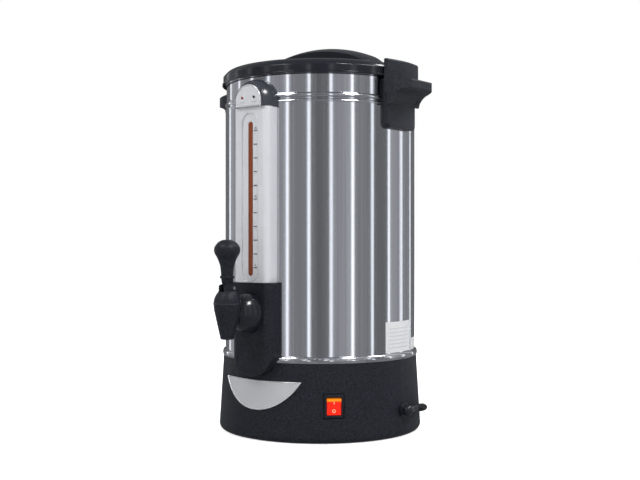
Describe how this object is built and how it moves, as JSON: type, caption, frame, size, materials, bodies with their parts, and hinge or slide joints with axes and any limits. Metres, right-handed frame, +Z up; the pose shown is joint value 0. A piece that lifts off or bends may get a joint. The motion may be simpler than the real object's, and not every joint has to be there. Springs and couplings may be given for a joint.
{
  "type": "hot water urn",
  "caption": "Cylindrical steel urn that heats water, with a plastic base, sight gauge, lever tap, side handles, lift-off lid and mains cord.",
  "frame": {"origin": "on the drum's axis at the resting surface under the base's rim", "axes": "+Z up along the drum's axis, the tap and gauge face -Y, +X is the user's right, where the cord leaves"},
  "size_m": [0.4962, 0.4254, 0.5348],
  "materials": {
    "black_plastic": "fine grained black moulding",
    "gloss_black": "glossy black moulding",
    "stainless": "brushed stainless sheet",
    "silver_plastic": "silver painted plastic",
    "grey_plastic": "dark grey satin moulding",
    "aluminium": "cast aluminium",
    "steel": "plain steel",
    "rubber": "black flexible cord sheath",
    "silicone": "pale silicone",
    "glass": "clear tube",
    "rust_strip": "rust orange strip",
    "red_lens": "red translucent plastic",
    "dark_lens": "dark lamp lens",
    "brass": "plated brass"
  },
  "bodies": {
    "urn": {"base_shell": "black_plastic", "base_plate": "steel", "badge_plate": "silver_plastic", "switch_housing": "gloss_black", "cord_gland": "gloss_black", "cord": "rubber", "cord_coil": "rubber", "cord_tail": "rubber", "plug_body": "rubber", "plug_pin_1": "brass", "plug_pin_2": "brass", "tank_body": "stainless", "tank_floor": "stainless", "heat_plate": "aluminium", "heating_element": "steel", "boil_thermostat": "aluminium", "warm_thermostat": "aluminium", "dry_cutout": "aluminium", "terminal_block": "black_plastic", "gauge_trim": "silver_plastic", "sight_tube": "glass", "level_strip": "rust_strip", "tube_elbow": "silicone", "tube_cap": "silicone", "gauge_cap": "grey_plastic", "gauge_cap_plate": "silver_plastic", "lamp_heat": "red_lens", "lamp_ready": "dark_lens", "tap_shroud": "black_plastic", "tap_body": "black_plastic", "tap_nose": "gloss_black", "tap_shank": "stainless", "shank_nut": "steel", "shank_seal": "silicone", "tap_bonnet": "black_plastic", "lever_pin": "steel", "tap_spring": "steel", "handle_right": "black_plastic", "handle_left": "black_plastic"},
    "lid": {"lid_shell": "gloss_black", "lid_liner": "stainless", "lid_grip": "gloss_black", "lid_seal": "silicone"},
    "lever": {"tap_lever": "black_plastic"},
    "stem": {"valve_stem": "black_plastic", "seat_cup": "silicone"},
    "rocker": {"switch_rocker": "red_lens"}
  },
  "joints": [
    {"name": "lid_lift", "type": "slide", "parent": "urn", "child": "lid", "axis": [0, 0, 1], "range_m": [0, 0.12]},
    {"name": "lever_tilt", "type": "hinge", "parent": "urn", "child": "lever", "pos_m": [0, -0.1873, 0.2025], "axis": [1, 0, 0], "range_deg": [0, 30], "stiffness_Nm_per_rad": 0.25, "springref_deg": -17.19},
    {"name": "stem_press", "type": "slide", "parent": "urn", "child": "stem", "axis": [0, 0, -1], "range_m": [0, 0.0039], "deforming": ["tap_spring"]},
    {"name": "rocker_tilt", "type": "hinge", "parent": "urn", "child": "rocker", "pos_m": [0.09348, -0.09348, 0.0489], "axis": [0.7071, 0.7071, 0], "range_deg": [-14, 0]}
  ],
  "couplings": [
    {"joint": "stem_press", "follows": "lever_tilt", "m_per_rad": 0.0073}
  ]
}
